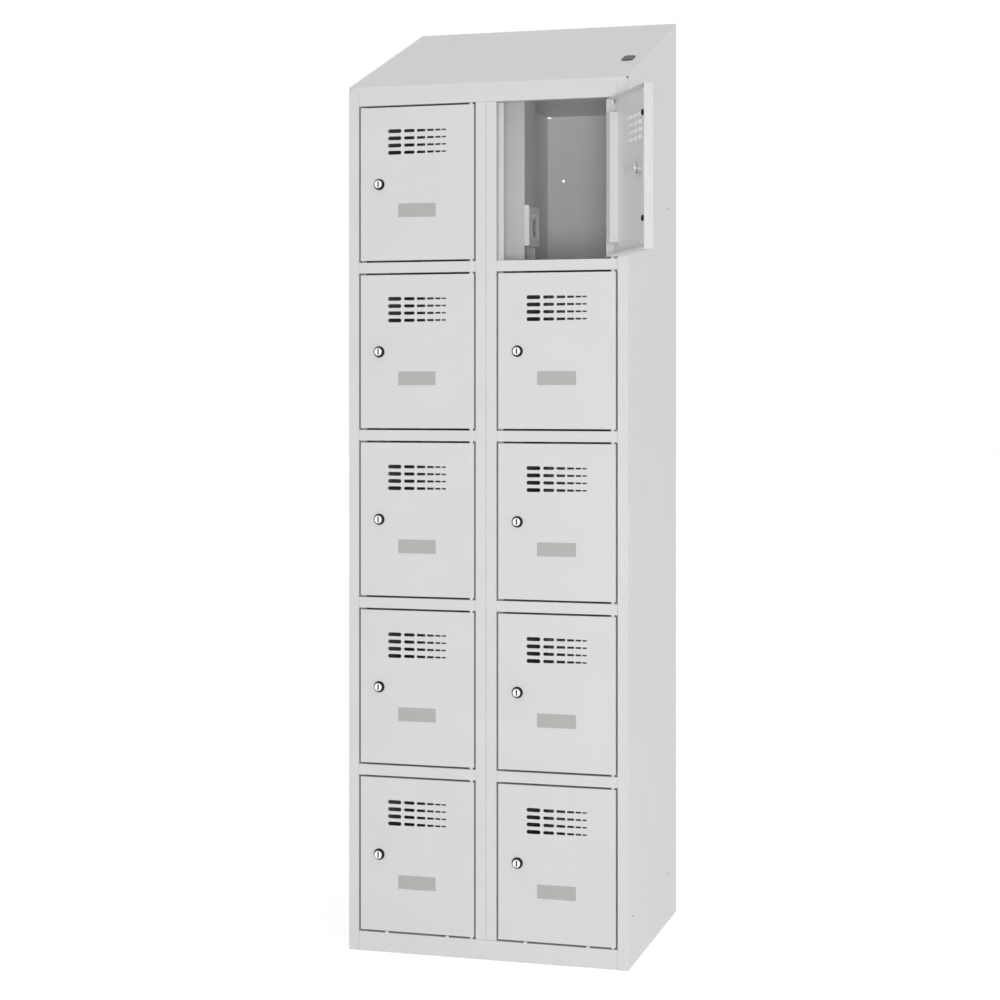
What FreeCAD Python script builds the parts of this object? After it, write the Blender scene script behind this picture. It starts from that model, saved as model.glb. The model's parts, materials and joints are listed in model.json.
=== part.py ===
import FreeCAD, Part
import math
import os

# Charging cabinet: two columns of lockable compartments under a sloping top,
# each compartment with a mains and USB socket on a cable duct.
# Millimetres, +Z up, +Y to the back, origin on the floor under the middle of the body.

# Cabinet body
cabinet_width = 600.0
cabinet_depth = 500.0
body_height = 1800.0
column_count = 2
row_count = 5
sheet = 1.0
overrun = 2.0
notch_clearance = 0.5

# Sloping top
roof_lip_height = 9.4
roof_rise = 190.6
roof_flange = 15.0
roof_corner_relief = 7.0

# Front frame
post_width = 22.0
shelf_rail_height = 22.0
top_rail_height = 30.5
bottom_rail_height = 39.5
rail_return = 18.0
stop_lip_width = 10.0
rear_flange = 15.0
corner_relief = 9.0
seam = 0.4

# Tabs that stand in the gap under the lowest doors
tab_width = 7.0
tab_height = 3.4
tab_offset = 66.0

# Stiffener under the bottom panel
stiffener_width = 60.0
stiffener_flange = 20.0

# Doors
door_gap = 4.2
door_depth = 18.0
door_return = 14.0
return_end_gap = 10.0
door_lip = 5.0
bumper_room = 3.3
stile_width = 23.0
stile_end_gap = 28.0
open_angle = 120.0
open_column = 1
open_row = 0

# Air slots: each next slot in a row is smaller by the same ratio
slot_rows = 4
slot_columns = 6
slot_row_pitch = 15.0
slot_top_offset = 50.0
slot_first_width = 29.0
slot_first_height = 8.0
slot_first_gap = 6.3
slot_side_offset = 60.5
slot_width_ratio_share = 0.79
slot_height_ratio_share = 0.82
slot_gap_ratio_share = 0.82
slot_corner_share = 0.29
slot_corner_steps = 1
slot_rounded_columns = 2

# Hinge pins, whose corners lie on their radius, in door holes with flats
pin_radius = 3.0
pin_sides = 16
pin_clearance = 0.05
pin_reach = 10.0
pin_inset = 7.0
pin_setback = 6.0
collar_radius = 3.7
collar_sides = 6
collar_clearance = 0.15
bearing_sides = 12

# Cam lock, with a neck that has flats so that it can't turn in the door
lock_side_offset = 40.6
lock_top_offset = 160.6
rosette_radius = 12.0
rosette_face_radius = 8.75
rosette_height = 6.5
rosette_sides = 24
neck_radius = 9.3
neck_sides = 8
neck_clearance = 0.1
neck_end_clearance = 0.3
plug_radius = 7.5
plug_sides = 24
plug_clearance = 0.05
plug_proud = 0.3
key_slot_width = 3.2
key_slot_height = 12.0
key_slot_depth = 3.0
cam_length = 57.0
cam_tail_radius = 9.5
cam_tail_steps = 4
cam_tip_width = 14.5
cam_thickness = 2.8
cam_clearance = 0.6

# Label plate
label_width = 81.2
label_height = 28.0
label_thickness = 1.5
label_top_offset = 202.0
label_bevel = 0.6

# Cable duct
duct_reach = 50.0
duct_front = 118.0
duct_length = 88.0

# Charging socket
socket_rise = 38.0
socket_height = 86.0
socket_depth = 10.0
socket_bevel = 2.0
insert_size = 60.0
insert_clearance = 0.1
insert_step = 0.4
box_size = 54.0
recess_radius = 19.5
recess_depth = 15.0
recess_drop = 3.0
usb_rise = 22.5
usb_pitch = 20.0
usb_width = 12.0
usb_height = 5.5
usb_depth = 3.0

# Supply wiring
cable_width = 12.0
cable_thickness = 5.0
cable_tail = 30.0
trunk_width = 60.0
trunk_height = 40.0
trunk_end_gap = 4.0

# Cap on the slope of the roof
cap_width = 24.0
cap_length = 44.0
cap_thickness = 2.0
cap_corner = 7.0
cap_corner_steps = 4
cap_rim = 4.0
cap_plug_depth = 8.0
cap_side_offset = 36.0
cap_front_offset = 165.0

# Fixing holes
wall_hole_radius = 3.25
wall_hole_side_offset = 38.8
wall_hole_drop = 148.0
join_hole_radius = 2.5
join_hole_front = 53.5
join_hole_rear = 70.2
join_hole_low = 470.5
join_hole_drop = 455.0

# Values that follow from the sizes above
column_pitch = cabinet_width / column_count
opening_width = column_pitch - 2 * post_width
rails_height = top_rail_height + bottom_rail_height + (row_count - 1) * shelf_rail_height
opening_height = (body_height - rails_height) / row_count
row_pitch = opening_height + shelf_rail_height
door_width = opening_width - 2 * door_gap
door_height = opening_height - 2 * door_gap
door_left = post_width + door_gap
jamb_depth = door_depth + bumper_room
frame_depth = jamb_depth + sheet + notch_clearance
wall_depth = cabinet_depth - sheet
wall_face = sheet + seam / 2
duct_rear = duct_front + duct_length
duct_middle = duct_front + duct_length / 2
cam_setback = jamb_depth + sheet + cam_clearance
front_y = -cabinet_depth / 2
side_names = ("left", "right")


def vector(x, y, z):
    return FreeCAD.Vector(x, y, z)


def block(x_span, y_span, z_span):
    size = [high - low for low, high in (x_span, y_span, z_span)]
    return Part.makeBox(*size, vector(x_span[0], y_span[0], z_span[0]))


def around(middle, width):
    return middle - width / 2, middle + width / 2


def beyond(span):
    return span[0] - overrun, span[1] + overrun


def cylinder_y(radius, x, y_span, z):
    return Part.makeCylinder(radius, y_span[1] - y_span[0], vector(x, y_span[0], z), vector(0, 1, 0))


def prism(points, direction):
    return Part.Face(Part.makePolygon(points + points[:1])).extrude(direction)


def prism_z(points, z_span):
    return prism([vector(x, y, z_span[0]) for x, y in points], vector(0, 0, z_span[1] - z_span[0]))


def prism_x(points, x_span):
    return prism([vector(x_span[0], y, z) for y, z in points], vector(x_span[1] - x_span[0], 0, 0))


def prism_y(points, y_span):
    return prism([vector(x, y_span[0], z) for x, z in points], vector(0, y_span[1] - y_span[0], 0))


def with_corners(sides, radius):
    """The corners of a regular outline, which lie at the radius from its middle."""
    turns = [2 * math.pi * (side + 1 / 2) / sides for side in range(sides)]
    return [(radius * math.cos(turn), radius * math.sin(turn)) for turn in turns]


def with_flats(sides, radius):
    """The corners of a regular outline whose flats lie at the radius from its middle."""
    return with_corners(sides, radius / math.cos(math.pi / sides))


def frustum_y(sides, radii, y_span):
    """A many-sided cone between two radii, closed by flat faces."""
    near, far = [
        [vector(x, y, z) for x, z in with_corners(sides, radius)]
        for radius, y in zip(radii, y_span)
    ]
    flanks = [[near[side], near[side - 1], far[side - 1], far[side]] for side in range(sides)]
    faces = [Part.Face(Part.makePolygon(corners + corners[:1])) for corners in [near, far] + flanks]
    return Part.Solid(Part.Shell(faces))


def rounded_outline(across, along, corner, steps):
    """A rectangle whose corners are rounded in a number of straight steps."""
    near_x, far_x = across[0] + corner, across[1] - corner
    near_y, far_y = along[0] + corner, along[1] - corner
    points = []
    for quarter, (x, y) in enumerate(((far_x, far_y), (near_x, far_y), (near_x, near_y), (far_x, near_y))):
        for step in range(steps + 1):
            turn = (quarter + step / steps) * math.pi / 2
            points.append((x + corner * math.cos(turn), y + corner * math.sin(turn)))
    return points


def right_of(path, distance):
    """The points of an open path moved to its right, with mitred corners."""
    normals = []
    for start, end in zip(path, path[1:]):
        length = math.dist(start, end)
        normals.append(((end[1] - start[1]) / length, (start[0] - end[0]) / length))
    moved = []
    for index, point in enumerate(path):
        before = normals[max(index - 1, 0)]
        after = normals[min(index, len(normals) - 1)]
        reach = distance / (1 + before[0] * after[0] + before[1] * after[1])
        moved.append((point[0] + reach * (before[0] + after[0]), point[1] + reach * (before[1] + after[1])))
    return moved


def folded(path):
    """The closed outline of a folded sheet whose outer face follows the path."""
    return path + right_of(path, sheet)[::-1]


def column_left(column):
    return column * column_pitch - cabinet_width / 2


def in_column(shape, column):
    return shape.translated(vector(column_left(column), front_y, 0))


def mirrored(shape):
    return shape.mirror(vector(0, 0, 0), vector(1, 0, 0))


def opening_bottom(row):
    return body_height - top_rail_height - opening_height - row * row_pitch


def wall(z_span):
    return block((0, sheet), (0, wall_depth), z_span)


def post(z_span):
    """A front post: a channel on the wall, closed at its back by the strip that the door stops at."""
    channel = folded([
        (post_width, jamb_depth),
        (post_width, 0),
        (sheet, 0),
        (sheet, jamb_depth),
    ])
    stop_strip = block((sheet, post_width + stop_lip_width), (jamb_depth, jamb_depth + sheet), z_span)
    return [prism_z(channel, z_span), stop_strip]


def left_side_panel():
    z_span = (0, body_height)
    panel = wall(z_span)
    for y in (join_hole_front, cabinet_depth - join_hole_rear):
        for z in (join_hole_low, body_height - join_hole_drop):
            start = vector(-overrun, y, z)
            hole = Part.makeCylinder(join_hole_radius, sheet + 2 * overrun, start, vector(1, 0, 0))
            panel = panel.cut(hole)
    return in_column(Part.makeCompound([panel] + post(z_span)), 0)


def right_partition():
    rail_bottom = body_height - top_rail_height
    under_rail = block(beyond((0, sheet)), (-overrun, frame_depth), (rail_bottom, body_height))
    partition = wall((bottom_rail_height, body_height - sheet)).cut(under_rail)
    post_solids = post((bottom_rail_height + seam, rail_bottom - seam))
    beside_seam = vector(seam / 2, 0, 0)
    return in_column(Part.makeCompound([partition] + post_solids).translated(beside_seam), 1)


def back_panel():
    y_span = (wall_depth, cabinet_depth)
    panel = block(around(0, cabinet_width), y_span, (0, body_height))
    for column in range(column_count):
        left = column_left(column)
        hole_x = left + wall_hole_side_offset
        hole_z = body_height - wall_hole_drop
        panel = panel.cut(cylinder_y(wall_hole_radius, hole_x, beyond(y_span), hole_z))
        relief = (left + sheet, left + sheet + corner_relief)
        high = (body_height - corner_relief / 2, body_height + overrun)
        panel = panel.cut(block(relief, beyond(y_span), high))
    return panel.translated(vector(0, front_y, 0))


def tray(height, width):
    """A folded tray with a front rail, notched at its front corners for the posts and their lips."""
    path = [
        (rail_return, 0),
        (0, 0),
        (0, height),
        (wall_depth, height),
        (wall_depth, height - rear_flange),
    ]
    body = prism_x(folded(path), (wall_face, width - wall_face))
    z_span = beyond((0, height))
    for edge, inward in ((0, 1), (width, -1)):
        beside_post = sorted((edge, edge + inward * (post_width + seam)))
        beside_strip = sorted((edge, edge + inward * (post_width + stop_lip_width + notch_clearance)))
        body = body.cut(block(beside_post, (-overrun, frame_depth), z_span))
        body = body.cut(block(beside_strip, (jamb_depth - notch_clearance, frame_depth), z_span))
    return body


def shelf():
    y_span = (duct_front - notch_clearance, duct_rear + notch_clearance)
    notch = block((0, duct_reach + notch_clearance), y_span, beyond((0, shelf_rail_height)))
    return tray(shelf_rail_height, column_pitch).cut(notch)


def shelves(column):
    stack = []
    for row in range(row_count - 1):
        lift = vector(0, 0, opening_bottom(row) - shelf_rail_height)
        stack.append(in_column(shelf().translated(lift), column))
    return Part.makeCompound(stack)


def top_panel():
    panel = tray(top_rail_height, cabinet_width)
    rear = beyond((wall_depth - sheet, wall_depth))
    for column in range(column_count):
        left = column * column_pitch
        relief = (left + wall_face, left + sheet + corner_relief)
        relief_z = (top_rail_height - corner_relief / 2, top_rail_height - sheet)
        panel = panel.cut(block(relief, rear, relief_z))
        x_span = (left + wall_face, left + wall_face + cable_thickness + notch_clearance)
        y_span = around(duct_middle, cable_width + 2 * notch_clearance)
        panel = panel.cut(block(x_span, y_span, beyond((0, top_rail_height))))
    slot = around(column_pitch, 2 * (wall_face + notch_clearance))
    panel = panel.cut(block(slot, rear, (-overrun, top_rail_height - sheet)))
    return in_column(panel.translated(vector(0, 0, body_height - top_rail_height)), 0)


def bottom_panel():
    panel = tray(bottom_rail_height, cabinet_width)
    for column in range(column_count):
        middle = (column + 1 / 2) * column_pitch
        for x in (middle - tab_offset, middle + tab_offset):
            z_span = (bottom_rail_height, bottom_rail_height + tab_height)
            panel = panel.fuse(block(around(x, tab_width), (0, sheet), z_span))
    return in_column(panel.removeSplitter(), 0)


def base_stiffener():
    half = stiffener_width / 2
    flange_z = bottom_rail_height - 2 * sheet
    path = [
        (half + stiffener_flange, flange_z),
        (half, flange_z),
        (half, 0),
        (-half, 0),
        (-half, flange_z),
        (-half - stiffener_flange, flange_z),
    ]
    y_span = (rail_return + notch_clearance, wall_depth - sheet - notch_clearance)
    return prism_y(folded(path), y_span).translated(vector(0, front_y, 0))


def roof_slope(y):
    return body_height + roof_lip_height + roof_rise * y / cabinet_depth


def roof_frame():
    """The place and the directions of the roof's slope at the cap."""
    angle = math.degrees(math.atan2(roof_rise, cabinet_depth))
    x = cabinet_width / 2 - cap_side_offset
    place = vector(x, front_y + cap_front_offset, roof_slope(cap_front_offset))
    return FreeCAD.Placement(place, FreeCAD.Rotation(vector(1, 0, 0), angle))


def cap_plate(inset, z_span):
    """A plate with the outline of the cap, drawn in by the inset."""
    across = around(0, cap_width - 2 * inset)
    along = around(0, cap_length - 2 * inset)
    return prism_z(rounded_outline(across, along, cap_corner - inset, cap_corner_steps), z_span)


def placed_on_roof(shape):
    shape.Placement = roof_frame()
    return shape


def cable_entry_cap():
    plug = cap_plate(cap_rim, (-cap_plug_depth, 0))
    return placed_on_roof(cap_plate(0, (0, cap_thickness)).fuse(plug))


def sloping_top():
    outer = [
        (0, body_height),
        (0, roof_slope(0)),
        (cabinet_depth, roof_slope(cabinet_depth)),
        (cabinet_depth, body_height),
    ]
    path = [(roof_flange, body_height)] + outer + [(cabinet_depth - roof_flange, body_height)]
    x_span = around(0, cabinet_width)
    hood = prism_x(folded(path), x_span)
    for span in ((x_span[0], x_span[0] + sheet), (x_span[1] - sheet, x_span[1])):
        hood = hood.fuse(prism_x(outer, span))
    hood = hood.removeSplitter().translated(vector(0, front_y, 0))
    relief_y = around(front_y, roof_corner_relief)
    relief_z = around(roof_slope(0), roof_corner_relief)
    for x in x_span:
        hood = hood.cut(block(around(x, roof_corner_relief), relief_y, relief_z))
    hole = cap_plate(cap_rim - notch_clearance, (-2 * overrun, overrun))
    return hood.cut(placed_on_roof(hole))


def cable_duct(column):
    path = [
        (wall_face, duct_rear),
        (duct_reach, duct_rear),
        (duct_reach, duct_front),
        (wall_face, duct_front),
    ]
    duct = prism_z(folded(path), (bottom_rail_height, body_height - sheet))
    side = beyond((duct_reach - sheet, duct_reach))
    for row in range(row_count):
        floor = opening_bottom(row)
        box_hole = box_size + 2 * insert_clearance
        z_span = around(socket_middle(row), box_hole)
        duct = duct.cut(block(side, around(duct_middle, box_hole), z_span))
        window = (duct_front + sheet, duct_rear - sheet)
        duct = duct.cut(block(side, window, (floor, floor + socket_rise)))
    return in_column(duct, column)


def socket_middle(row):
    return opening_bottom(row) + socket_rise + socket_height / 2


def socket_frame(row):
    z_span = around(socket_middle(row), socket_height)
    face_x = duct_reach + socket_depth
    frame = block((duct_reach, face_x), (duct_front, duct_rear), z_span)
    front = [edge for edge in frame.Edges if all(abs(v.X - face_x) < sheet for v in edge.Vertexes)]
    frame = frame.makeChamfer(socket_bevel, front)
    hole = insert_size + 2 * insert_clearance
    hole_z = around(socket_middle(row), hole)
    return frame.cut(block(beyond((duct_reach, face_x)), around(duct_middle, hole), hole_z))


def socket_insert(row):
    middle = socket_middle(row)
    face_x = duct_reach + socket_depth - insert_step
    insert = block((duct_reach, face_x), around(duct_middle, insert_size), around(middle, insert_size))
    back_x = wall_face + cable_thickness
    box_y, box_z = around(duct_middle, box_size), around(middle, box_size)
    insert = insert.fuse(block((back_x, duct_reach), box_y, box_z))
    place = vector(face_x - recess_depth, duct_middle, middle - recess_drop)
    insert = insert.cut(Part.makeCylinder(recess_radius, recess_depth + overrun, place, vector(1, 0, 0)))
    for y in (duct_middle - usb_pitch / 2, duct_middle + usb_pitch / 2):
        port = (face_x - usb_depth, face_x + overrun)
        insert = insert.cut(block(port, around(y, usb_width), around(middle + usb_rise, usb_height)))
    return insert


def in_every_compartment(make):
    solids = []
    for column in range(column_count):
        for row in range(row_count):
            solids.append(in_column(make(row), column))
    return Part.makeCompound(solids)


def supply_cables():
    x_span = (wall_face, wall_face + cable_thickness)
    z_span = (socket_middle(row_count - 1) - cable_tail, body_height)
    cables = []
    for column in range(column_count):
        cable = block(x_span, around(duct_middle, cable_width), z_span)
        cables.append(in_column(cable, column))
    return Part.makeCompound(cables)


def supply_trunking():
    x_span = (sheet + trunk_end_gap, (column_count - 1) * column_pitch + duct_reach)
    trunk = block(x_span, around(duct_middle, trunk_width), (body_height, body_height + trunk_height))
    return in_column(trunk, 0)


def hinge_x():
    return column_pitch - door_left - pin_inset


def hinge_pin(seat_z, upward):
    """A pin that stands on the frame with its collar in the door gap."""
    collar_height = door_gap - collar_clearance
    pin = prism_z(with_flats(collar_sides, collar_radius), (0, collar_height))
    pin = pin.fuse(prism_z(with_corners(pin_sides, pin_radius), (collar_height, collar_height + pin_reach)))
    if not upward:
        pin = pin.mirror(vector(0, 0, 0), vector(0, 0, 1))
    return pin.translated(vector(hinge_x(), pin_setback, seat_z))


def hinge_pins():
    solids = []
    for column in range(column_count):
        for row in range(row_count):
            floor = opening_bottom(row)
            solids.append(in_column(hinge_pin(floor, True), column))
            solids.append(in_column(hinge_pin(floor + opening_height, False), column))
    return Part.makeCompound(solids)


def air_slot(column, x_span, z):
    height = slot_first_height * slot_height_ratio_share ** column
    z_span = around(z, height)
    if column >= slot_rounded_columns:
        return block(x_span, beyond((0, sheet)), z_span)
    outline = rounded_outline(x_span, z_span, height * slot_corner_share, slot_corner_steps)
    return prism_y(outline, beyond((0, sheet)))


def air_slots():
    slots = []
    x = slot_side_offset
    for column in range(slot_columns):
        width = slot_first_width * slot_width_ratio_share ** column
        for row in range(slot_rows):
            z = door_height - slot_top_offset - row * slot_row_pitch
            slots.append(air_slot(column, (x, x + width), z))
        x += width + slot_first_gap * slot_gap_ratio_share ** column
    return Part.makeCompound(slots)


def door_pan():
    """The folded door, from its lock edge, its outer face and its lower edge."""
    pan = block((0, door_width), (0, door_depth), (0, door_height))
    inner_z = (sheet, door_height - sheet)
    pan = pan.cut(block((sheet, door_width - sheet), (sheet, door_depth + overrun), inner_z))
    back = (door_depth - sheet, door_depth)
    lock_return = block((0, door_return), back, (return_end_gap, door_height - return_end_gap))
    lower_lip = block((0, door_width), back, (0, door_lip))
    pan = pan.fuse(lock_return).fuse(lower_lip).removeSplitter().cut(air_slots())
    lock_hole = prism_y(with_flats(neck_sides, neck_radius + neck_clearance), beyond((0, sheet)))
    pan = pan.cut(at_lock(lock_hole))
    pin_hole = prism_z(with_flats(bearing_sides, pin_radius + pin_clearance), beyond((0, door_height)))
    return pan.cut(pin_hole.translated(vector(door_width - pin_inset, pin_setback, 0)))


def door_stile():
    outline = folded([
        (door_width - sheet - stile_width, sheet),
        (door_width - sheet - stile_width, door_depth),
        (door_width - sheet, door_depth),
    ])
    return prism_z(outline, (stile_end_gap, door_height - stile_end_gap))


def door():
    return Part.makeCompound([door_pan(), door_stile()])


def label_plate():
    z_top = door_height - label_top_offset
    plate = block(around(door_width / 2, label_width), (-label_thickness, 0), (z_top - label_height, z_top))
    front = [edge for edge in plate.Edges if all(v.Y < -label_thickness / 2 for v in edge.Vertexes)]
    return plate.makeChamfer(label_bevel, front)


def at_lock(shape):
    return shape.translated(vector(lock_side_offset, 0, door_height - lock_top_offset))


def lock_housing():
    rosette = frustum_y(rosette_sides, (rosette_face_radius, rosette_radius), (-rosette_height, 0))
    neck = prism_y(with_flats(neck_sides, neck_radius), (0, cam_setback - neck_end_clearance))
    bore_flats = with_flats(bearing_sides, plug_radius + plug_clearance)
    bore = prism_y(bore_flats, beyond((-rosette_height, cam_setback)))
    return at_lock(rosette.fuse(neck).cut(bore))


def cam_outline():
    """A plate that narrows from a round tail about the lock's axis to its tip."""
    turns = [(1 / 2 + step / cam_tail_steps) * math.pi for step in range(cam_tail_steps + 1)]
    tail = [(cam_tail_radius * math.cos(turn), cam_tail_radius * math.sin(turn)) for turn in turns]
    return tail + [(cam_length, -cam_tip_width / 2), (cam_length, cam_tip_width / 2)]


def lock_plug():
    """The plug with its cam, turned inwards so that the door is free."""
    face_y = -rosette_height - plug_proud
    plug = prism_y(with_corners(plug_sides, plug_radius), (face_y, cam_setback))
    plug = plug.fuse(prism_y(cam_outline(), (cam_setback, cam_setback + cam_thickness)))
    slot_y = (face_y - overrun, face_y + key_slot_depth)
    key_slot = block(around(0, key_slot_width), slot_y, around(0, key_slot_height))
    return at_lock(plug.removeSplitter().cut(key_slot))


def on_door(shape, column, row):
    """A door piece at its place, turned open on the door that stands open."""
    shape = shape.translated(vector(door_left, 0, opening_bottom(row) + door_gap))
    if (column, row) == (open_column, open_row):
        shape = shape.rotated(vector(hinge_x(), pin_setback, 0), vector(0, 0, 1), open_angle)
    return in_column(shape, column)


nodes = {
    "left_side_panel": left_side_panel(),
    "right_side_panel": mirrored(left_side_panel()),
    "left_partition": mirrored(right_partition()),
    "right_partition": right_partition(),
    "back_panel": back_panel(),
    "top_panel": top_panel(),
    "bottom_panel": bottom_panel(),
    "base_stiffener": base_stiffener(),
    "sloping_top": sloping_top(),
    "cable_entry_cap": cable_entry_cap(),
    "socket_frames": in_every_compartment(socket_frame),
    "socket_inserts": in_every_compartment(socket_insert),
    "supply_cables": supply_cables(),
    "supply_trunking": supply_trunking(),
    "hinge_pins": hinge_pins(),
}
for column, side in enumerate(side_names):
    nodes[f"{side}_shelves"] = shelves(column)
    nodes[f"{side}_cable_duct"] = cable_duct(column)

door_pieces = {
    "door": door(),
    "label_plate": label_plate(),
    "lock_housing": lock_housing(),
    "lock_plug": lock_plug(),
}
for column, side in enumerate(side_names):
    for row in range(row_count):
        for piece, shape in door_pieces.items():
            nodes[f"{side}_{piece}_{row + 1}"] = on_door(shape, column, row)

os.makedirs("parts", exist_ok=True)
for name, shape in nodes.items():
    shape.exportStep(f"parts/{name}.step")
print(len(nodes), "nodes")
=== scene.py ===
import json
import math
import bmesh
import bpy
from mathutils import Matrix, Vector


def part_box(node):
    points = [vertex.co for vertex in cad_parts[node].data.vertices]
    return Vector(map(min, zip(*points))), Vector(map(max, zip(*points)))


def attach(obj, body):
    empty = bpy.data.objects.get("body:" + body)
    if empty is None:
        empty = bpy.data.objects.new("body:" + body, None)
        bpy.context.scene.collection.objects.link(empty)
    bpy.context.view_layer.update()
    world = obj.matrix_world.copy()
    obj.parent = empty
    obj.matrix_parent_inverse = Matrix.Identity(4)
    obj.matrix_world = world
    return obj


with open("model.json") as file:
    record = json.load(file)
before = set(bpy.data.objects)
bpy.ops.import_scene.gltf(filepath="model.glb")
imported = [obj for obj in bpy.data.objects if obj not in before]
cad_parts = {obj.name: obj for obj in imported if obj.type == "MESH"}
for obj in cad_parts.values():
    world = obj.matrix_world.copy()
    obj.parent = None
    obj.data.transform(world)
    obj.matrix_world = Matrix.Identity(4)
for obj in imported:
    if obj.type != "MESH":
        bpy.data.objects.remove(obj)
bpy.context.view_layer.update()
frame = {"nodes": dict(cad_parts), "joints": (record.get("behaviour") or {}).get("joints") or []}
nodes = frame["nodes"]
joints = {joint["name"]: joint for joint in frame["joints"]}

SIDES = ("left", "right")
ROWS = range(1, 6)
QUARTER_TURN = math.radians(90)

# Sizes of the frame that the small pieces sit on, in metres
SHEET = 0.001
SIDE_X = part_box("right_side_panel")[1].x
DOOR_LOW, DOOR_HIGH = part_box("left_door_2")
DOOR_DEPTH = DOOR_HIGH.y - DOOR_LOW.y
DOOR_HEIGHT = DOOR_HIGH.z - DOOR_LOW.z
COLUMN_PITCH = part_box("right_door_2")[0].x - DOOR_LOW.x
DOOR_GAP = 0.0042

# Rounded edges of the folded pieces, by words in a node's name
SOFT_EDGES = (("_door_", 0.0002), ("partition", 0.0002), ("sloping_top", 0.00045), ("cable_duct", 0.00045))
EDGE_SEGMENTS = 2
EDGE_ANGLE = math.radians(40)
WELD_DISTANCE = SHEET / 100
FACE_WEIGHT = 100

# Door bumpers, with their distance below the door's upper edge
BUMPER_RADIUS = 0.006
BUMPER_HEIGHT = 0.003
BUMPER_INSET = 0.007
BUMPER_DROPS = (0.057, 0.260)

# Lock nut, its washer and the threaded sleeve round the lock's neck
NECK_RADIUS = 0.0102
WASHER_RADIUS = 0.0150
WASHER_HEIGHT = 0.0009
NUT_RADIUS = 0.0142
NUT_HEIGHT = 0.0042
NUT_SIDES = 6
THREAD_RADIUS = 0.0107
THREAD_ROOT = 0.0103
THREAD_PITCH = 0.0015
THREAD_TURNS = 14

# Cam screw, on the back of the cam
CAM_BACK = 0.0257
CAM_SCREW_RADIUS = 0.0048
CAM_SCREW_HEIGHT = 0.0024

# Bright ring on the lock's face, and the key slot's black halves, painted shade of the slot
ROSETTE_HEIGHT = 0.0065
PLUG_RADIUS = 0.0075
FACE_RING_GAP = 0.0002
FACE_RING_WIDTH = 0.0006
FACE_RING_HEIGHT = 0.00025
KEYWAY_WIDTH = 0.0029
KEYWAY_HEIGHT = 0.0117
KEYWAY_SINK = 0.0002
KEYWAY_THICKNESS = 0.0022
KEYWAY_SLIT = 0.0003
KEYWAY_BEVEL = 0.00018

# Charging socket: mains recess, grey inside as painted shade, with earth pin and contact holes as black
# discs of painted shade, USB ports above it
SOCKET_RISE = 0.081
SOCKET_DROP = 0.003
SOCKET_Y = -0.088
SOCKET_FACE = 0.0596
RECESS_DEPTH = 0.015
RECESS_RADIUS = 0.0195
RIM_WIDTH = 0.0016
RIM_HEIGHT = 0.0006
# Thickness of the grey cup that paints shade into the mains recess
SHADE_CUP_THICKNESS = 0.0004
EARTH_PIN_RADIUS = 0.0024
EARTH_PIN_LENGTH = 0.0125
EARTH_PIN_RISE = 0.010
CONTACT_RADIUS = 0.0030
CONTACT_HEIGHT = 0.0005
CONTACT_PITCH = 0.019
USB_RISE = 0.0225
USB_PITCH = 0.020
USB_TONGUE = (0.009, 0.0018, 0.0022)
USB_TONGUE_SINK = 0.0018
USB_TONGUE_BEVEL = 0.0003

# Side rivets, with their places along Y and Z
RIVET_RADIUS = 0.0032
RIVET_HEIGHT = 0.0012
# Black disc in each rivet's head, painted shade of its hollow
RIVET_SHADE_RADIUS = 0.0019
RIVET_SHADE_RISE = 0.0006
RIVET_PLACES = ((0.157, 1.575), (0.157, 0.105), (-0.211, 0.101), (-0.211, 1.575))

# Turned profiles, as shares of a piece's radius and height
BUTTON_SHARES = ((0, 0), (1, 0), (1, 0.53), (0.87, 0.87), (0.5, 0.97), (0, 1))
PIN_SHARES = ((0, 0), (1, 0), (1, 0.8), (0.75, 0.94), (0, 1))
CONTACT_SHARES = ((0, 0), (0.93, 0), (1, 0.6), (0.87, 1), (0, 0.4))
RIVET_SHARES = ((0, -0.33), (1, -0.33), (1, 0), (0.84, 0.58), (0.44, 0.92), (0, 1))
SCREW_SHARES = ((0, 0), (1, 0), (1, 0.5), (0.8, 0.95), (0.45, 1), (0.4, 0.5), (0, 0.5))
RING_SHARES = ((0, 0), (1, 0), (1, 0.7), (0.92, 1), (0.08, 1), (0, 0.7), (0, 0))

# Sides of the turned pieces, from tiny to large
TINY_ROUND = 16
PIN_ROUND = 18
SMALL_ROUND = 20
ROUND = 28
WIDE_ROUND = 40
FACE_RING_ROUND = 48

# How the small pieces' meshes are joined, shaded and rounded
MERGE_DISTANCE = 1e-7
SMOOTH_ANGLE = math.radians(35)
BAR_SEGMENTS = 2

# Studio; a soft lamp has a name, a place, a target, a strength and a softness in degrees
WHITE = (1, 1, 1, 1)
BACKGROUND_LIGHT = 1.0
WORLD_LIGHT = 0.41
FLOOR_COLOR = (0.80, 0.80, 0.80, 1)
FLOOR_ROUGHNESS = 0.9
FLOOR_GLOW = 0.48
FLOOR_HALF = 30
FLOOR_CELLS = 8
FLOOR_DROP = 0.001
MIDDLE = (0, 0, 1.0)
FRONT_LAMP_PLACE = (1.35, -4.9, 0.95)
FRONT_LAMP_SIZE = 1.2
FRONT_LAMP_POWER = 76
SOFT_LAMPS = (
    ("left_lamp", (-4.0, -4.0, 2.8), MIDDLE, 0.25, 40),
    ("right_lamp", (5.0, 0.6, 2.4), (0, 0, 0.9), 0.66, 30),
    ("top_lamp", (0.5, -1.0, 6.0), MIDDLE, 0.54, 60),
    ("back_lamp", (-2.5, 5.0, 1.4), MIDDLE, 0.45, 20),
)

# Camera: level, turned about the vertical by radians, with its view shifted down
SENSOR_WIDTH = 36
FOCAL_SHARE = 2.081457
CAMERA_PLACE = (1.205924, -4.370509, 1.177272)
CAMERA_TURN = 0.278
CAMERA_SHIFT = -0.1113
CAMERA_REACH = 100

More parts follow.
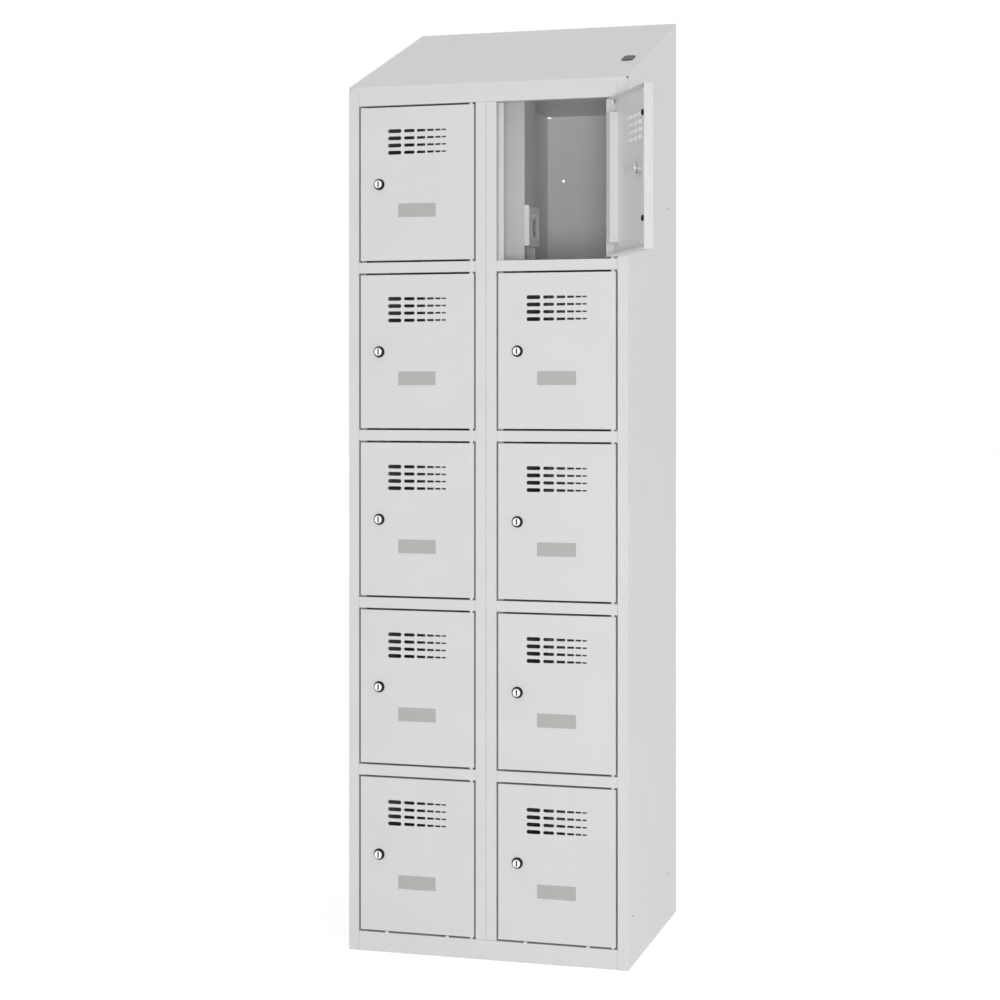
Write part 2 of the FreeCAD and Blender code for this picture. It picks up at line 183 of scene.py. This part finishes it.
# A surface's fine grain: its scale, its depth in metres and its strength
COATED = (900, 0.0001, 0.15)
ROLLED = (700, 0.0001, 0.1)
BRUSHED = (260, 0.0001, 0.2)
DRAWN = (900, 0.00005, 0.1)
SATIN = (900, 0.00004, 0.08)
PLATED = (1500, 0.00003, 0.05)
POLISHED = (1500, 0.00002, 0.05)
MOULDED = (1600, 0.00004, 0.1)
COARSE_MOULDED = (1400, 0.00008, 0.2)
RUBBERY = (1000, 0.0001, 0.3)
EXTRUDED = (1200, 0.00005, 0.15)

# The stops of the colour change, the share by which the gloss varies, the noises' detail, usual specular
COLOR_STOPS = (0.3, 0.7)
GLOSS_SHARE = 0.1
BROAD_DETAIL = 3
FINE_DETAIL = 2
PLAIN_SPECULAR = 0.5


# Materials

def start_material(name, roughness, metallic, specular=PLAIN_SPECULAR):
    mat = bpy.data.materials.new(name)
    mat.use_nodes = True
    shader = mat.node_tree.nodes["Principled BSDF"]
    shader.inputs["Roughness"].default_value = roughness
    shader.inputs["Metallic"].default_value = metallic
    shader.inputs["Specular IOR Level"].default_value = specular
    return mat, mat.node_tree, shader


def place_coordinates(tree, stretch):
    coordinates = tree.nodes.new("ShaderNodeTexCoord")
    mapping = tree.nodes.new("ShaderNodeMapping")
    mapping.inputs["Scale"].default_value = stretch
    tree.links.new(coordinates.outputs["Object"], mapping.inputs["Vector"])
    return mapping.outputs["Vector"]


def noise(tree, vector, scale, detail):
    texture = tree.nodes.new("ShaderNodeTexNoise")
    texture.inputs["Scale"].default_value = scale
    texture.inputs["Detail"].default_value = detail
    tree.links.new(vector, texture.inputs["Vector"])
    return texture.outputs["Fac"]


def ramp(tree, factor, stops):
    """A change of colour between two stops of (position, colour)."""
    node = tree.nodes.new("ShaderNodeValToRGB")
    for element, (position, color) in zip(node.color_ramp.elements, stops):
        element.position = position
        element.color = (*color, 1)
    tree.links.new(factor, node.inputs["Fac"])
    return node.outputs["Color"]


def spread(tree, factor, low, high):
    node = tree.nodes.new("ShaderNodeMapRange")
    node.inputs["To Min"].default_value = low
    node.inputs["To Max"].default_value = high
    tree.links.new(factor, node.inputs["Value"])
    return node.outputs["Result"]


def bump(tree, shader, height, distance, strength):
    node = tree.nodes.new("ShaderNodeBump")
    node.inputs["Distance"].default_value = distance
    node.inputs["Strength"].default_value = strength
    tree.links.new(height, node.inputs["Height"])
    tree.links.new(node.outputs["Normal"], shader.inputs["Normal"])


def tint(color, share):
    return tuple(min(1, channel * share) for channel in color)


def grained(name, color, vary, scale, roughness, grain,
            metallic=0, stretch=(1, 1, 1), specular=PLAIN_SPECULAR):
    """A finish with a soft colour change, uneven gloss and a fine surface grain."""
    mat, tree, shader = start_material(name, roughness, metallic, specular)
    vector = place_coordinates(tree, stretch)
    broad = noise(tree, vector, scale, BROAD_DETAIL)
    stops = zip(COLOR_STOPS, (tint(color, 1 - vary), tint(color, 1 + vary)))
    tree.links.new(ramp(tree, broad, stops), shader.inputs["Base Color"])
    gloss = spread(tree, broad, roughness * (1 - GLOSS_SHARE), min(1, roughness * (1 + GLOSS_SHARE)))
    tree.links.new(gloss, shader.inputs["Roughness"])
    fine, distance, strength = grain
    bump(tree, shader, noise(tree, vector, fine, FINE_DETAIL), distance, strength)
    return mat


# Each finish: its name, its colour, the colour's change and that change's scale, its roughness and grain
paint = grained("powder_coat", (0.72, 0.72, 0.72), 0.012, 9, 0.42, COATED)
galvanised = grained("galvanised_steel", (0.62, 0.63, 0.64), 0.08, 120, 0.38, ROLLED, metallic=0.9)
label = grained("label_satin", (0.455, 0.455, 0.44), 0.03, 40, 0.45, BRUSHED, stretch=(1, 1, 24))
# Near-black lock rosette: painted shade and painted dark reflection of a chrome rosette
rosette_painted_shade = grained("rosette_painted_shade", (0.016, 0.016, 0.017), 0.1, 90, 0.35, POLISHED, specular=0.12)
bright_chrome = grained("bright_chrome", (0.93, 0.93, 0.93), 0.02, 90, 0.14, POLISHED, metallic=1)
satin_chrome = grained("satin_chrome", (0.94, 0.94, 0.94), 0.02, 90, 0.36, POLISHED, metallic=0.7)
satin_zinc = grained("satin_zinc", (0.50, 0.50, 0.51), 0.04, 120, 0.38, SATIN, metallic=1)
steel = grained("zinc_steel", (0.66, 0.66, 0.65), 0.05, 160, 0.30, DRAWN, metallic=1, stretch=(1, 1, 8))
nickel = grained("nickel", (0.70, 0.67, 0.60), 0.03, 200, 0.22, PLATED, metallic=1)
white_plastic = grained("white_plastic", (0.87, 0.87, 0.86), 0.01, 25, 0.34, MOULDED)
# Painted shade: the grey of the cup that darkens the socket's white mains recess
recess_shade_grey = grained("recess_shade_grey", (0.36, 0.36, 0.355), 0.02, 25, 0.5, MOULDED)
black_plastic = grained("black_plastic", (0.03, 0.03, 0.032), 0.15, 60, 0.5, COARSE_MOULDED)
rubber = grained("black_rubber", (0.015, 0.015, 0.015), 0.2, 80, 0.75, RUBBERY, specular=0.2)
sheath = grained("cable_sheath", (0.72, 0.72, 0.70), 0.02, 60, 0.5, EXTRUDED)

# The finish of a node, by words in its name; the rest is painted
FINISHES = (
    ("label_plate", label),
    # The lock rosette's near black is painted shade and reflection
    ("lock_housing", rosette_painted_shade),
    ("lock_plug", satin_chrome),
    ("hinge_pins", steel),
    ("base_stiffener", galvanised),
    ("socket", white_plastic),
    ("supply_cables", sheath),
    ("supply_trunking", white_plastic),
    ("cable_entry_cap", black_plastic),
)


def finish_of(node):
    for words, finish in FINISHES:
        if words in node:
            return finish
    return paint


def soften_edges(obj, width):
    """Rounds a node's edges, as a bent sheet has them, and keeps its flat faces evenly shaded."""
    weld = obj.modifiers.new("weld", "WELD")
    weld.merge_threshold = WELD_DISTANCE
    bevel = obj.modifiers.new("soft_edges", "BEVEL")
    bevel.width = width
    bevel.segments = EDGE_SEGMENTS
    bevel.limit_method = "ANGLE"
    bevel.angle_limit = EDGE_ANGLE
    bevel.harden_normals = True
    even = obj.modifiers.new("even_normals", "WEIGHTED_NORMAL")
    even.weight = FACE_WEIGHT
    even.keep_sharp = True


def dress_nodes():
    for name, obj in nodes.items():
        obj.data.materials.clear()
        obj.data.materials.append(finish_of(name))
        for words, width in SOFT_EDGES:
            if words in name:
                soften_edges(obj, width)


# Shapes of the small pieces

def lathe(mesh, profile, place, segments):
    """A turned form: rings of the profile's (radius, height) points about the local Z axis."""
    turns = [2 * math.pi * step / segments for step in range(segments)]
    rings = []
    for radius, height in profile:
        spots = [(radius * math.cos(turn), radius * math.sin(turn), height) for turn in turns]
        if radius == 0:
            spots = spots[:1]
        rings.append([mesh.verts.new(place @ Vector(spot)) for spot in spots])
    for lower, upper in zip(rings, rings[1:]):
        for step in range(segments):
            after = (step + 1) % segments
            corners = [ring[index % len(ring)] for ring, index in (
                (lower, step), (lower, after), (upper, after), (upper, step))]
            mesh.faces.new(list(dict.fromkeys(corners)))


def turned(mesh, shares, radius, height, place, segments):
    lathe(mesh, [(across * radius, along * height) for across, along in shares], place, segments)


def turned_ring(mesh, inner, outer, height, place, segments):
    profile = [(inner + across * (outer - inner), along * height) for across, along in RING_SHARES]
    lathe(mesh, profile, place, segments)


def bar(mesh, size, place, bevel):
    spot = place @ Matrix.Diagonal((*size, 1))
    corners = bmesh.ops.create_cube(mesh, size=1, matrix=spot)["verts"]
    edges = list({edge for corner in corners for edge in corner.link_edges})
    bmesh.ops.bevel(mesh, geom=edges, offset=bevel, segments=BAR_SEGMENTS, affect="EDGES")


def shade_smooth(mesh):
    """Smooth faces that keep their sharp edges."""
    for face in mesh.faces:
        face.smooth = True
    for edge in mesh.edges:
        edge.smooth = len(edge.link_faces) == 2 and edge.calc_face_angle() < SMOOTH_ANGLE


def add_piece(name, build, body, finish):
    mesh = bmesh.new()
    build(mesh)
    bmesh.ops.remove_doubles(mesh, verts=mesh.verts, dist=MERGE_DISTANCE)
    bmesh.ops.recalc_face_normals(mesh, faces=mesh.faces)
    shade_smooth(mesh)
    data = bpy.data.meshes.new(name)
    mesh.to_mesh(data)
    mesh.free()
    data.materials.append(finish)
    obj = bpy.data.objects.new(name, data)
    bpy.context.scene.collection.objects.link(obj)
    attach(obj, body)


# Pieces on the doors and locks

# Local frames whose Z axis points the way a shut door's inner or outer face looks
INWARD = Matrix.Rotation(-QUARTER_TURN, 4, "X")
OUTWARD = Matrix.Rotation(QUARTER_TURN, 4, "X")


def swing(side, row):
    """How far a door is turned open about the vertical, from the axis of its lock."""
    axis = joints[f"lock_{side}_{row}_turn"]["axis"]
    return Matrix.Rotation(math.atan2(axis[0], -axis[1]), 4, "Z")


def door_place(side, row):
    """From a door's lock edge, outer face and lower edge to the frame."""
    lock_edge = DOOR_LOW.x + COLUMN_PITCH * SIDES.index(side)
    lower_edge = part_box(f"left_door_{row}")[0].z
    shut = Matrix.Translation((lock_edge, DOOR_LOW.y, lower_edge))
    pivot = Matrix.Translation(Vector(joints[f"door_{side}_{row}_hinge"]["pos_m"]))
    return pivot @ swing(side, row) @ pivot.inverted() @ shut


def lock_place(side, row):
    """The lock's axis where it passes the door's outer face."""
    return Matrix.Translation(Vector(joints[f"lock_{side}_{row}_turn"]["pos_m"])) @ swing(side, row)


def bumpers(place):
    def build(mesh):
        for drop in BUMPER_DROPS:
            spot = Matrix.Translation((BUMPER_INSET, DOOR_DEPTH, DOOR_HEIGHT - drop)) @ INWARD
            turned(mesh, BUTTON_SHARES, BUMPER_RADIUS, BUMPER_HEIGHT, place @ spot, ROUND)
    return build


def thread_profile():
    """The outline of a threaded sleeve round the lock's neck."""
    length = THREAD_TURNS * THREAD_PITCH
    ridges = []
    for turn in range(THREAD_TURNS):
        ridges += [(THREAD_ROOT, turn * THREAD_PITCH), (THREAD_RADIUS, (turn + 0.5) * THREAD_PITCH)]
    return [(NECK_RADIUS, 0)] + ridges + [(THREAD_ROOT, length), (NECK_RADIUS, length), (NECK_RADIUS, 0)]


def lock_nut(place):
    def build(mesh):
        washer = place @ Matrix.Translation((0, SHEET, 0)) @ INWARD
        turned_ring(mesh, NECK_RADIUS, WASHER_RADIUS, WASHER_HEIGHT, washer, WIDE_ROUND)
        nut = washer @ Matrix.Translation((0, 0, WASHER_HEIGHT))
        turned_ring(mesh, THREAD_RADIUS, NUT_RADIUS, NUT_HEIGHT, nut, NUT_SIDES)
        lathe(mesh, thread_profile(), washer, ROUND)
    return build


def cam_screw(place):
    def build(mesh):
        spot = place @ Matrix.Translation((0, CAM_BACK, 0)) @ INWARD
        turned(mesh, SCREW_SHARES, CAM_SCREW_RADIUS, CAM_SCREW_HEIGHT, spot, ROUND)
    return build


def lock_face(place):
    def build(mesh):
        spot = place @ Matrix.Translation((0, -ROSETTE_HEIGHT, 0)) @ OUTWARD
        inner, outer = PLUG_RADIUS + FACE_RING_GAP, PLUG_RADIUS + FACE_RING_WIDTH
        turned_ring(mesh, inner, outer, FACE_RING_HEIGHT, spot, FACE_RING_ROUND)
    return build


def keyway_shade(place):
    """Two black halves in the key slot with the slit for the key between them, black as painted shade of
    the slot.
    """
    def build(mesh):
        half = (KEYWAY_WIDTH - KEYWAY_SLIT) / 2
        middle = (KEYWAY_SLIT + half) / 2
        depth = -ROSETTE_HEIGHT + KEYWAY_SINK + KEYWAY_THICKNESS / 2
        for x in (-middle, middle):
            spot = place @ Matrix.Translation((x, depth, 0))
            bar(mesh, (half, KEYWAY_THICKNESS, KEYWAY_HEIGHT), spot, KEYWAY_BEVEL)
    return build


def add_door_pieces(side, row):
    door, lock = f"door_{side}_{row}", f"lock_{side}_{row}"
    at_lock = lock_place(side, row)
    add_piece(f"{side}_door_bumpers_{row}", bumpers(door_place(side, row)), door, rubber)
    add_piece(f"{side}_lock_nut_{row}", lock_nut(at_lock), door, satin_zinc)
    add_piece(f"{side}_cam_screw_{row}", cam_screw(at_lock), lock, satin_zinc)
    add_piece(f"{side}_lock_face_{row}", lock_face(at_lock), door, bright_chrome)
    # The key slot's black halves are painted shade
    add_piece(f"{side}_keyway_{row}", keyway_shade(at_lock), lock, rubber)


# Pieces in the charging sockets

# A local frame whose Z axis points out of a socket's face, with Y upwards
SOCKET_TURN = Matrix(((0, 0, 1, 0), (1, 0, 0, 0), (0, 1, 0, 0), (0, 0, 0, 1)))


def socket_place(side, row):
    """The middle of a socket's mains recess on its face, with Z pointing out of the face."""
    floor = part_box(f"left_door_{row}")[0].z - DOOR_GAP
    x = COLUMN_PITCH * (SIDES.index(side) - 1) + SOCKET_FACE
    middle = Vector((x, SOCKET_Y, floor + SOCKET_RISE - SOCKET_DROP))
    return Matrix.Translation(middle) @ SOCKET_TURN


def at_sockets(add):
    def build(mesh):
        for side in SIDES:
            for row in ROWS:
                add(mesh, socket_place(side, row))
    return build


def earth_pin(mesh, place):
    spot = place @ Matrix.Translation((0, EARTH_PIN_RISE, -RECESS_DEPTH))
    turned(mesh, PIN_SHARES, EARTH_PIN_RADIUS, EARTH_PIN_LENGTH, spot, PIN_ROUND)


# Black discs where the contact holes are: painted shade of the holes
def contact_hole_shades(mesh, place):
    for x in (-CONTACT_PITCH / 2, CONTACT_PITCH / 2):
        spot = place @ Matrix.Translation((x, 0, -RECESS_DEPTH))
        turned(mesh, CONTACT_SHARES, CONTACT_RADIUS, CONTACT_HEIGHT, spot, SMALL_ROUND)


def recess_rim(mesh, place):
    turned_ring(mesh, RECESS_RADIUS, RECESS_RADIUS + RIM_WIDTH, RIM_HEIGHT, place, WIDE_ROUND)


def recess_shade_cup(mesh, place):
    """The cup inside the mains recess, grey as painted shade on the socket's white plastic."""
    wall = RECESS_RADIUS - SHADE_CUP_THICKNESS
    floor = SHADE_CUP_THICKNESS - RECESS_DEPTH
    outside = ((0, -RECESS_DEPTH), (RECESS_RADIUS, -RECESS_DEPTH), (RECESS_RADIUS, 0))
    inside = ((wall, 0), (wall, floor), (0, floor))
    lathe(mesh, outside + inside, place, WIDE_ROUND)


def usb_tongues(mesh, place):
    for x in (-USB_PITCH / 2, USB_PITCH / 2):
        spot = place @ Matrix.Translation((x, USB_RISE + SOCKET_DROP, -USB_TONGUE_SINK))
        bar(mesh, USB_TONGUE, spot, USB_TONGUE_BEVEL)


def add_socket_pieces():
    add_piece("socket_earth_pins", at_sockets(earth_pin), "cabinet", nickel)
    # Black discs at the contact holes: painted shade
    add_piece("socket_contact_hole_shades", at_sockets(contact_hole_shades), "cabinet", black_plastic)
    add_piece("socket_recess_rims", at_sockets(recess_rim), "cabinet", white_plastic)
    # Grey cups in the mains recesses: painted shade
    add_piece("socket_recess_shade_cups", at_sockets(recess_shade_cup), "cabinet", recess_shade_grey)
    add_piece("usb_tongues", at_sockets(usb_tongues), "cabinet", black_plastic)


# Rivets on the cabinet's sides

def at_rivets(add):
    def build(mesh):
        for sign in (-1, 1):
            turn = Matrix.Rotation(sign * QUARTER_TURN, 4, "Y")
            for y, z in RIVET_PLACES:
                add(mesh, Matrix.Translation((sign * SIDE_X, y, z)) @ turn)
    return build


def rivet(mesh, place):
    turned(mesh, RIVET_SHARES, RIVET_RADIUS, RIVET_HEIGHT, place, SMALL_ROUND)


def rivet_hole_shade(mesh, place):
    """A black disc in a blind rivet's head where its pin broke off: painted shade of that hollow."""
    spot = place @ Matrix.Translation((0, 0, RIVET_SHADE_RISE))
    height = RIVET_HEIGHT - RIVET_SHADE_RISE / 2
    turned(mesh, PIN_SHARES, RIVET_SHADE_RADIUS, height, spot, TINY_ROUND)


def add_rivets():
    add_piece("side_rivets", at_rivets(rivet), "cabinet", paint)
    # Black discs in the rivets' heads: painted shade
    add_piece("rivet_hole_shades", at_rivets(rivet_hole_shade), "cabinet", rubber)


# Floor, light and camera

def seen_rays(tree):
    """1 for the rays that show the background in the picture or in a reflection, 0 for the rest."""
    path = tree.nodes.new("ShaderNodeLightPath")
    total = path.outputs["Is Camera Ray"]
    for kind in ("Is Glossy Ray", "Is Transmission Ray"):
        larger = tree.nodes.new("ShaderNodeMath")
        larger.operation = "MAXIMUM"
        tree.links.new(total, larger.inputs[0])
        tree.links.new(path.outputs[kind], larger.inputs[1])
        total = larger.outputs[0]
    return total


def background(tree, strength):
    node = tree.nodes.new("ShaderNodeBackground")
    node.inputs["Color"].default_value = WHITE
    node.inputs["Strength"].default_value = strength
    return node.outputs[0]


def build_world():
    world = bpy.data.worlds.new("studio")
    world.use_nodes = True
    tree = world.node_tree
    tree.nodes.clear()
    mix = tree.nodes.new("ShaderNodeMixShader")
    tree.links.new(seen_rays(tree), mix.inputs["Fac"])
    tree.links.new(background(tree, WORLD_LIGHT), mix.inputs[1])
    tree.links.new(background(tree, BACKGROUND_LIGHT), mix.inputs[2])
    output = tree.nodes.new("ShaderNodeOutputWorld")
    tree.links.new(mix.outputs[0], output.inputs["Surface"])
    bpy.context.scene.world = world


def floor_material():
    mat, tree, shader = start_material("studio_floor", FLOOR_ROUGHNESS, 0)
    shader.inputs["Base Color"].default_value = FLOOR_COLOR
    glow = tree.nodes.new("ShaderNodeEmission")
    glow.inputs["Color"].default_value = WHITE
    tree.links.new(spread(tree, seen_rays(tree), 0, FLOOR_GLOW), glow.inputs["Strength"])
    add = tree.nodes.new("ShaderNodeAddShader")
    tree.links.new(shader.outputs[0], add.inputs[0])
    tree.links.new(glow.outputs[0], add.inputs[1])
    tree.links.new(add.outputs[0], tree.nodes["Material Output"].inputs["Surface"])
    return mat


def build_floor():
    mesh = bmesh.new()
    bmesh.ops.create_grid(mesh, x_segments=FLOOR_CELLS, y_segments=FLOOR_CELLS, size=FLOOR_HALF)
    data = bpy.data.meshes.new("studio_floor")
    mesh.to_mesh(data)
    mesh.free()
    data.materials.append(floor_material())
    floor = bpy.data.objects.new("studio_floor", data)
    floor.location.z = -FLOOR_DROP
    bpy.context.scene.collection.objects.link(floor)


def aim(name, data, place, target):
    obj = bpy.data.objects.new(name, data)
    obj.location = place
    obj.rotation_euler = (Vector(target) - Vector(place)).to_track_quat("-Z", "Y").to_euler()
    bpy.context.scene.collection.objects.link(obj)


def soft_lamp(name, place, target, strength, softness):
    """A far soft lamp: even over the whole height of the cabinet."""
    data = bpy.data.lights.new(name, "SUN")
    data.energy = strength
    data.angle = math.radians(softness)
    aim(name, data, place, target)


def front_lamp():
    """A lamp just behind the camera, which reaches into the open compartment."""
    data = bpy.data.lights.new("front_lamp", "AREA")
    data.shape = "DISK"
    data.size = FRONT_LAMP_SIZE
    data.energy = FRONT_LAMP_POWER
    aim("front_lamp", data, FRONT_LAMP_PLACE, MIDDLE)


def build_lamps():
    front_lamp()
    for lamp in SOFT_LAMPS:
        soft_lamp(*lamp)


def build_camera():
    data = bpy.data.cameras.new("photo_camera")
    data.sensor_width = SENSOR_WIDTH
    data.lens = SENSOR_WIDTH * FOCAL_SHARE
    data.shift_y = CAMERA_SHIFT
    data.clip_end = CAMERA_REACH
    camera = bpy.data.objects.new("photo_camera", data)
    camera.location = CAMERA_PLACE
    camera.rotation_euler = (QUARTER_TURN, 0, CAMERA_TURN)
    bpy.context.scene.collection.objects.link(camera)
    bpy.context.scene.camera = camera


dress_nodes()
for side in SIDES:
    for row in ROWS:
        add_door_pieces(side, row)
add_socket_pieces()
add_rivets()
build_world()
build_floor()
build_lamps()
build_camera()
bpy.context.scene.view_settings.view_transform = "Standard"
